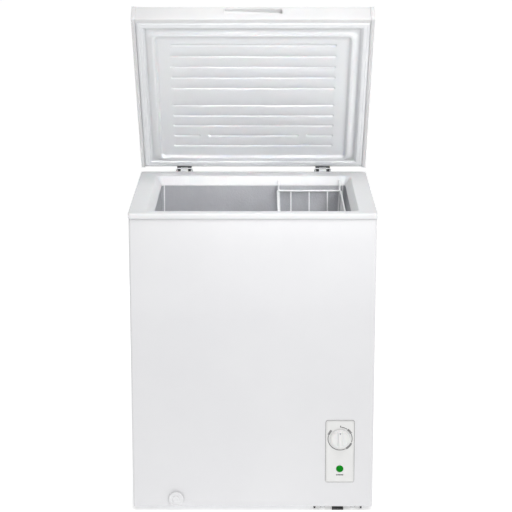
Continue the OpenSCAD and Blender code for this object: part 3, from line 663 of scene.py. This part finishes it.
def make_lid_liner():
    """The moulded inner panel, on a grid that is fine only where the bead and the grooves need it."""
    xs = {-liner_hi.x, liner_hi.x} | {i * 40 * MM for i in range(-2, 3)}
    ys = {liner_lo.y, liner_hi.y}
    corner = [d * MM for d in (*range(0, 40, 2), 46)]
    for s in (-1, 1):
        xs |= {s * (BEAD_X - d) for d in (*corner, 54 * MM)}
        xs |= {s * (end + d * MM) for end in (*GROOVE_BREAK, GROOVE_END) for d in range(-5, 6)}
    ys |= {BEAD_FRONT + d for d in corner} | {BEAD_REAR - d for d in corner}
    for place in GROOVES_AT:
        ys |= {place + s * d * MM for d in (0, 1.6, 2.4, 3.1, 3.8, 4.6) for s in (-1, 1)}
    xs, ys = spaced(xs), spaced(ys)
    lines = groove_lines()
    rows = [[Vector((x, y, shell_lo.z - bead_height(x, y) + GROOVE_DEEP * groove_dip(x, y, lines)))
             for x in xs] for y in ys]
    obj = piece("lid_inner_panel", loft(rows, closed=False), "lid_plastic", "lid", ["lid_liner"],
                shut=True, sharp=70)
    # the sheet's own thickness goes into the lid, away from the tank
    face_towards(obj, (0, 0, -1))
    thicken(obj, PANEL_SHEET)


def make_gasket():
    """A bellows gasket with a magnet pocket, mitred at its corners, and a thin fin along each side."""
    top, low = seal_hi.z, seal_lo.z
    x0, y0, x1, y1 = seal_lo.x, seal_lo.y, seal_hi.x, seal_hi.y
    outer_flank = [(-0.1, top - 4.4 * MM), (0.0, top - 6.8 * MM), (0.25, low + 1.0 * MM),
                   (1.0, low + 0.3 * MM)]
    foot = [(2.4, low), (4.6, low), (5.1, low + 0.4 * MM), (5.6, low), (12.4, low)]
    inner_flank = [(14.0, low + 0.3 * MM), (14.75, low + 1.0 * MM), (15.0, top - 6.4 * MM)]
    inner_fin = [(15.5, top - 5.6 * MM), (19.4, top - 5.0 * MM), (19.7, top - 4.6 * MM),
                 (19.4, top - 4.2 * MM), (15.5, top - 4.0 * MM)]
    crown = [(14.0, top - 0.4 * MM), (1.0, top - 0.4 * MM)]
    # each ring is inset in mm at the sides, inset at the front and rear, corner radius and height; the
    # outer fin reaches further out at the sides
    rings = [(-3.4, -1.6, 1.25, top - 2.6 * MM), (-3.4, -1.6, 1.25, top - 3.8 * MM)]
    rings += [(d, d, max(1.2 - 0.05 * d, 0.3), z)
              for d, z in outer_flank + foot + inner_flank + inner_fin + crown]
    rows = []
    for dx, dy, r, z in rings:
        loop = round_loop(x0 + dx * MM, y0 + dy * MM, x1 - dx * MM, y1 - dy * MM, r * MM, 3)
        rows.append(level(loop, z))
    piece("lid_seal", loft(rows, wrap_rows=True), "seal_rubber", "lid", ["lid_gasket"], shut=True,
          sharp=45)


def make_lid_shell():
    """The painted top sheet, folded down over the lid's back."""
    fold, margin = 3 * MM, 100 * MM
    top, rear = shell_hi.z, shell_hi.y
    profile = [(shell_lo.y, top)] + arc(rear - fold, top - fold, fold, 90, 0, 6) + [(rear, shell_lo.z)]
    stations = [shell_lo.x, shell_lo.x + margin, shell_hi.x - margin, shell_hi.x]
    skin = loft([sideways(profile, x) for x in stations], closed=False)
    obj = piece("lid_top_skin", skin, "painted_white", "lid", ["lid_shell"], shut=True)
    face_towards(obj, (0, 0, 1))
    thicken(obj, STEEL_SHEET)


def carve(obj, cutter):
    """Cuts one mesh out of another for good, and drops the cutter."""
    cut = obj.modifiers.new("cut", "BOOLEAN")
    cut.object = cutter
    cut.operation = "DIFFERENCE"
    cut.solver = "EXACT"
    bpy.context.view_layer.update()
    graph = bpy.context.evaluated_depsgraph_get()
    mesh = bpy.data.meshes.new_from_object(obj.evaluated_get(graph))
    obj.modifiers.remove(cut)
    obj.data = mesh
    bpy.data.objects.remove(cutter)


# Each ring of the handle pocket: its inset in mm and its share of the depth, from the mouth inwards
POCKET_RINGS = ((-0.6, -0.12), (0, 0), (0.5, 0.08), (1.2, 0.5), (1.6, 0.85), (2.4, 1.0))
POCKET_CORNER = 4.5 * MM


def pocket_rows(margin, depth_left, depth_right):
    """The rings of the handle pocket, whose depth may grow towards the right."""
    x0, x1 = cup_lo.x - margin, cup_hi.x + margin
    z0, z1 = cup_lo.z - margin, cup_hi.z + margin
    rows = []
    for d, share in POCKET_RINGS:
        inset = d * MM
        row = []
        for x, z in round_loop(x0 + inset, z0 + inset, x1 - inset, z1 - inset, POCKET_CORNER - inset, 5):
            t = (x - x0) / (x1 - x0)
            deep = depth_left + (depth_right - depth_left) * smooth(t * 1.15)
            row.append(Vector((x, trim_lo.y + deep * share, z)))
        rows.append(row)
    return rows


def make_front_trim():
    """The front rail, rounded above and below, with a return under the lid and the pocket cut out."""
    y0, y1, z0, z1 = trim_lo.y, trim_hi.y, trim_lo.z, trim_hi.z
    step, thick, low_round, high_round = shell_lo.z, 11 * MM, 2.5 * MM, 5 * MM
    clearance, cut_depth = 0.35 * MM, 13.6 * MM
    profile = ([(y1, step), (y0 + thick, step), (y0 + thick, z0)]
               + arc(y0 + low_round, z0 + low_round, low_round, 270, 180, 4)
               + arc(y0 + high_round, z1 - high_round, high_round, 180, 90, 7) + [(y1, z1)])
    skin = loft([sideways(profile, x) for x in (trim_lo.x, trim_hi.x)], cap=(True, True))
    obj = piece("lid_front_profile", skin, "trim_plastic", "lid", ["lid_front_trim"], shut=True)
    skin = loft(pocket_rows(clearance, cut_depth, cut_depth), cap=(True, True))
    carve(obj, object_from("pocket_cutter", skin, True, "trim_plastic"))
    shade(obj.data)
    soften(obj, 0.4 * MM, angle=50)


def make_handle_cup():
    """The lining of the handle pocket, shallow at the left and deep at the right."""
    skin = loft(pocket_rows(0, 8 * MM, 13 * MM)[1:], cap=(False, True))
    obj = piece("lid_handle_recess", skin, "trim_plastic", "lid", ["lid_handle_cup"], shut=True, sharp=60)
    face_towards(obj, (0, -1, 0))
    thicken(obj, 0.6 * MM)


def make_side_trim(side):
    """A side rail with a quarter-round along every edge."""
    node_name = f"lid_side_trim_{side}"
    lo, hi = closed_box(node_name)
    edge, corner, steps = 2.2 * MM, 7.5 * MM, 4
    stations = []
    for i in range(steps + 1):
        a = math.radians(90 * i / steps)
        stations.append((lo.x + edge * (1 - math.cos(a)), edge * (1 - math.sin(a))))
    stations += [(hi.x - (x - lo.x), inset) for x, inset in reversed(stations)]
    rows = []
    for x, inset in stations:
        loop = round_loop(lo.y + inset, lo.z + inset, hi.y - inset, hi.z - inset, corner - inset, 8)
        rows.append(sideways(loop, x))
    piece(f"lid_side_rail_{side}", loft(rows, cap=(True, True)), "trim_plastic", "lid", [node_name],
          shut=True, sharp=40)


# The hinge knuckle's radius and half its length along the pin
KNUCKLE_R, KNUCKLE_HALF = 6.5 * MM, 10 * MM


def pin_sleeve(x, profile):
    """A ring round the hinge pin's axis; the profile is (radius, place along the pin from x)."""
    turn = [2 * math.pi * i / 32 for i in range(32)]
    rows = [sideways([(HINGE.y + r * math.cos(a), HINGE.z + r * math.sin(a)) for a in turn], x + h)
            for r, h in profile]
    return loft(rows, wrap_rows=True)


def make_hinge(side):
    """The lid's half of a hinge: dark plate; strap and knuckle in a light grey, lighter than bare zinc so that
    they read bright in their shade (painted light); and black rings beside the knuckle, painted shadow standing
    for the dark gaps there.
    """
    leaf = f"hinge_leaf_{side}"
    lo, hi = closed_box(leaf)
    x, z = (lo.x + hi.x) / 2, HINGE.z
    half, inner = (hi.x - lo.x) / 2, HINGE.y - KNUCKLE_R
    plate = [block((x - half, inner, z + 7.6 * MM), (x + half, inner + 3 * MM, shell_lo.z + 6 * MM)),
             block((x - half, shell_hi.y, shell_lo.z + 2 * MM), (x + half, inner + 0.8 * MM, hi.z))]
    bore, ease = 3.1 * MM, 0.5 * MM
    soften(piece(f"hinge_plate_{side}", join_parts(plate), "dark_steel", "lid", [leaf], shut=True), ease)
    # strap and knuckle take the light grey back_steel, not zinc, so that they read bright where they sit in shade:
    # painted light
    strap = block((x - KNUCKLE_HALF, inner - 0.3 * MM, z),
                  (x + KNUCKLE_HALF, inner + 3.6 * MM, z + 7.8 * MM))
    soften(piece(f"hinge_strap_{side}", strap, "back_steel", "lid", shut=True), ease)
    knuckle = [(bore, -KNUCKLE_HALF), (KNUCKLE_R - ease, -KNUCKLE_HALF), (KNUCKLE_R, ease - KNUCKLE_HALF),
               (KNUCKLE_R, KNUCKLE_HALF - ease), (KNUCKLE_R - ease, KNUCKLE_HALF), (bore, KNUCKLE_HALF)]
    piece(f"hinge_knuckle_{side}", pin_sleeve(x, knuckle), "back_steel", "lid", shut=True)
    # black rings either side of the knuckle: painted shadow for the dark gaps beside it
    start, end, wall = 10.4 * MM, 18.6 * MM, 0.7 * MM
    for s, hand in ((-1, "l"), (1, "r")):
        gap_shadow = [(KNUCKLE_R - wall, s * start), (KNUCKLE_R, s * start), (KNUCKLE_R, s * end),
                  (KNUCKLE_R - wall, s * end)]
        piece(f"hinge_gap_shadow_{side}_{hand}", pin_sleeve(x, gap_shadow), "black_plastic", "cabinet")


# ---------------------------------------------------------------- front foot and rail


def make_front_foot():
    """The right front foot: a square pad on a stem."""
    lo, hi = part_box("foot_front_right")
    at = (lo + hi) / 2
    pad, stem, lead = 15 * MM, 11 * MM, 20 * MM
    parts = [block((at.x - pad, at.y - lead, 0), (at.x + pad, at.y + pad, 7 * MM)),
             block((at.x - stem, at.y - stem, 6.5 * MM), (at.x + stem, at.y + stem, hi.z))]
    foot = piece("front_foot_pad", join_parts(parts), "black_plastic", "cabinet", ["foot_front_right"])
    soften(foot, 0.8 * MM)


def make_front_rail():
    """The black rail under the front, with an ear bent down at each end."""
    lo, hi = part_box("front_rail")
    parts = [block((lo.x, lo.y, hi.z - 1.2 * MM), hi)]
    for s, edge in ((1, lo.x), (-1, hi.x)):
        ear = [(edge, hi.z - 0.8 * MM), (edge + 7 * s * MM, hi.z - 0.8 * MM), (edge + 5 * s * MM, lo.z),
               (edge + s * MM, lo.z)]
        parts.append(loft([upright(ear, y) for y in (lo.y, lo.y + 25 * MM)], cap=(True, True)))
    rail = piece("front_rail_strip", join_parts(parts), "black_plastic", "cabinet", ["front_rail"])
    soften(rail, 0.3 * MM)


# ---------------------------------------------------------------- controls and drain

PLATE_CORNER = 6 * MM


def plate_ring(inset, y):
    """A ring at depth y, inset from the control plate's outline in mm."""
    d = inset * MM
    loop = round_loop(bezel_lo.x + d, bezel_lo.z + d, bezel_hi.x - d, bezel_hi.z - d, PLATE_CORNER - d, 6)
    return upright(loop, y)


def make_bezel():
    """The control plate with a fine groove round its face, and a thin dark ring round it that is painted shadow,
    standing for the shade in the gap round the plate.
    """
    back, face = wrap_lo.y + 0.2 * MM, bezel_lo.y
    floor, inside = face + 0.9 * MM, face + 0.1 * MM
    steps = [(0, back), (0, face + 1.0 * MM), (0.3, face + 0.35 * MM), (0.9, face), (1.7, face),
             (2.0, floor), (3.0, floor), (3.3, inside), (4.0, inside)]
    plate = loft([plate_ring(d, y) for d, y in steps], cap=(True, True))
    piece("control_plate", plate, "panel_plastic", "cabinet", ["control_bezel"])
    # a thin dark ring just proud of the wrap round the plate: painted shadow for the shade of the gap round it
    front = wrap_lo.y - 0.35 * MM
    steps = [(1.0, back), (1.0, front), (-0.6, front), (-0.8, front + 0.15 * MM), (-0.8, back)]
    shadow_ring = loft([plate_ring(d, y) for d, y in steps], wrap_rows=True)
    piece("control_plate_shadow_ring", shadow_ring, "print_and_shadow_grey", "cabinet")


# The print's back and the thickness of its ink
PRINT_FACE, INK = bezel_lo.y + 0.1 * MM, 0.14 * MM


def arc_band(centre, r0, r1, start, end):
    """A flat printed band about a centre; angles run clockwise from twelve o'clock."""
    n = max(2, int(abs(end - start) / 4))
    rows = []
    for r, y in ((r0, PRINT_FACE), (r0, PRINT_FACE - INK), (r1, PRINT_FACE - INK), (r1, PRINT_FACE)):
        turn = [math.radians(start + (end - start) * i / n) for i in range(n + 1)]
        rows.append(upright([(centre.x + r * math.sin(a), centre.z + r * math.cos(a)) for a in turn], y))
    verts, faces = loft(rows, closed=False, wrap_rows=True)
    n += 1
    faces += [(0, n, 2 * n, 3 * n), (n - 1, 4 * n - 1, 3 * n - 1, 2 * n - 1)]
    return verts, faces


def make_dial_marks():
    """The print: a thin ring round the knob with a start tick and bar marks, and bars under the lamp."""
    centre = (knob_lo + knob_hi) / 2
    inner, outer, tick = 30.6 * MM, 32.2 * MM, 35.2 * MM
    bar_inner, bar_outer, bar_pitch, bar_turn = 29.0 * MM, 34.4 * MM, 5.2, 3.6
    stretches = ((4, 36), (66, 110), (152, 287))
    parts = [arc_band(centre, inner, outer, start, end) for start, end in stretches]
    parts.append(arc_band(centre, inner, tick, 0.2, 3.4))
    for first, count in ((39, 5), (114, 7), (290, 5)):
        for at in [first + bar_pitch * i for i in range(count)]:
            parts.append(arc_band(centre, bar_inner, bar_outer, at, at + bar_turn))
    half, pitch = 1.5 * MM, 3.8 * MM
    z = lens_lo.z - 7.5 * MM
    for x in [(lens_lo.x + lens_hi.x) / 2 + i * pitch for i in range(-2, 3)]:
        parts.append(block((x - half, PRINT_FACE - INK, z - half), (x + half, PRINT_FACE, z + half)))
    piece("dial_scale", join_parts(parts), "print_and_shadow_grey", "cabinet")


def make_knob():
    """A round knob whose face rises into a grip across its middle, with a pointer dot at the top."""
    centre = (knob_lo + knob_hi) / 2
    r = (knob_hi.x - knob_lo.x) / 2
    back = knob_hi.y
    skirt, crown = 5.2 * MM, knob_hi.y - knob_lo.y
    rings = [(r - 0.4 * MM, 0), (r, 0.5 * MM), (r, skirt - 1.0 * MM), (r - 0.4 * MM, skirt - 0.3 * MM),
             (r - 1.2 * MM, skirt), (r - 2.6 * MM, skirt), (r - 2.9 * MM, skirt + 0.2 * MM),
             (r - 3.3 * MM, skirt + 1.8 * MM), (r - 4.2 * MM, skirt + 2.6 * MM)]
    flat = skirt + 2.8 * MM
    inner = r - 5.2 * MM
    count, n = 15, 72

    # the height of the face out from the knob's back
    def grip(x, z):
        across = smooth((6.6 * MM - abs(x)) / (3.4 * MM))
        along = smooth((inner - 0.2 * MM - math.hypot(x * 0.4, z)) / (3.0 * MM))
        hollow = 0.5 * MM * smooth((abs(x) - 6.0 * MM) / (9 * MM))
        return flat - hollow * along + (crown - flat) * across * along

    rows = [clock_circle(centre, radius, back - h, n) for radius, h in rings]
    for k in range(count + 1):
        row = clock_circle(centre, inner * (1 - k / count) + 0.01 * MM, back, n)
        for point in row:
            point.y -= grip(point.x - centre.x, point.z - centre.z)
        rows.append(row)
    piece("knob_cap", loft(rows, cap=(True, True)), "knob_plastic", "knob", ["control_knob"], sharp=50)
    dot_at = Vector((centre.x, 0, centre.z + inner * 0.86))
    profile = [(0, 0), (1.5 * MM, 0), (1.3 * MM, 0.3 * MM), (0.8 * MM, 0.45 * MM), (0, 0.5 * MM)]
    piece("knob_pointer", turned(profile, dot_at, knob_lo.y + 0.1 * MM, 16), "print_and_shadow_grey", "knob")


def make_lens():
    """The green lamp's domed lens, and the thin raised ring round it."""
    centre = (lens_lo + lens_hi) / 2
    r = (lens_hi.x - lens_lo.x) / 2
    dome = 0.8 * MM
    profile = [(r, lens_lo.y - lens_hi.y), (r, -dome)]
    profile += [(r * math.cos(a) * 0.98, -dome + dome * math.sin(a))
                for a in [math.radians(d) for d in range(10, 91, 10)]]
    lens = turned(profile, centre, lens_lo.y, 40)
    piece("lamp_lens", lens, "green_lens", "cabinet", ["indicator_lens"], sharp=50)
    profile = [(0.25, -1.0), (0.25, 0.35), (0.6, 0.55), (1.1, 0.35), (1.3, -0.2), (1.3, -1.0)]
    rows = [clock_circle(centre, r + out * MM, bezel_lo.y - h * MM, 48) for out, h in profile]
    piece("lamp_ring", loft(rows, wrap_rows=True), "panel_plastic", "cabinet")


def make_drain_dial():
    """The drain's round cap with a raised boss, and a short ridge across the boss to grip."""
    centre = (dial_lo + dial_hi) / 2
    r = (dial_hi.x - dial_lo.x) / 2
    high = dial_hi.y - dial_lo.y
    body = high - 2.2 * MM
    rim = [(9.9 * MM, 0), (r - 0.3 * MM, 0), (r, 0.4 * MM), (r, body - 1.4 * MM),
           (r - 0.5 * MM, body - 0.5 * MM), (r - 1.6 * MM, body), (r - 3.6 * MM, body)]
    trough = [(r - 4.4 * MM, body - 0.9 * MM), (10.6 * MM, body - 0.9 * MM), (9.8 * MM, body - 0.5 * MM)]
    boss = [(9.2 * MM, body + 1.2 * MM), (8.2 * MM, high), (5.0 * MM, high), (4.4 * MM, high - 0.8 * MM),
            (0, high - 1.0 * MM)]
    cap = turned(rim + trough + boss, centre, dial_hi.y, 64)
    piece("drain_cap", cap, "drain_plastic", "drain_dial", ["drain_dial"], sharp=38)
    half, long, corner = 1.5 * MM, 4.2 * MM, 1.4 * MM
    loop = round_loop(centre.x - long, centre.z - half, centre.x + long, centre.z + half, corner, 4)
    ridge = loft([upright(loop, dial_lo.y + d * MM) for d in (1.4, 0.2)], cap=(True, True))
    soften(piece("drain_cap_grip", ridge, "drain_plastic", "drain_dial"), 0.3 * MM)


# ---------------------------------------------------------------- pieces kept from the CAD

# The width in mm of the rounding on each CAD node's edges that can be seen
CRISP = {"back_panel": 0.7, "rear_grille": 0.5, "corner_strips": 0.3, "hinge_bracket_left": 0.4,
         "hinge_bracket_right": 0.4, "compressor_tray": 0.3, "relay_box": 2.0, "thermostat": 1.0,
         "drain_plug": 0.6, "foot_front_left": 0.8, "foot_rear_left": 0.8, "foot_rear_right": 0.8,
         "power_inlet": 0.5, "rail_bolts": 0.8, "bracket_screws": 0.5, "leaf_screws": 0.5,
         "grille_screws": 0.5}
# The seam strips are white, and made whiter than the tank whose slot they share so that they read bright in the
# tank's shade: their own colour with painted light added
LOOKS = {**SLOTS, "corner_strips": "seam_white_and_painted_light"}


def dress_frame():
    """Gives every CAD node its material, and a rounded edge where one shows."""
    for name, obj in frame["nodes"].items():
        obj.data.materials.clear()
        obj.data.materials.append(MATERIALS[LOOKS[name]])
        if name in CRISP:
            weld = obj.modifiers.new("weld", "WELD")
            weld.merge_threshold = 1e-5
            soften(obj, CRISP[name] * MM, angle=40)


# ---------------------------------------------------------------- the whole

make_camera()
make_lights()
make_floor()
dress_frame()
make_wrap()
make_rim()
make_basket()
make_lid_shell()
make_lid_liner()
make_gasket()
make_front_trim()
make_handle_cup()
for side in ("left", "right"):
    make_side_trim(side)
for side in ("left", "right"):
    make_hinge(side)
make_bezel()
make_dial_marks()
make_knob()
make_front_foot()
make_front_rail()
make_lens()
make_drain_dial()

view = bpy.context.scene.view_settings
view.view_transform = "Standard"
view.look = "None"
view.exposure = 0.0
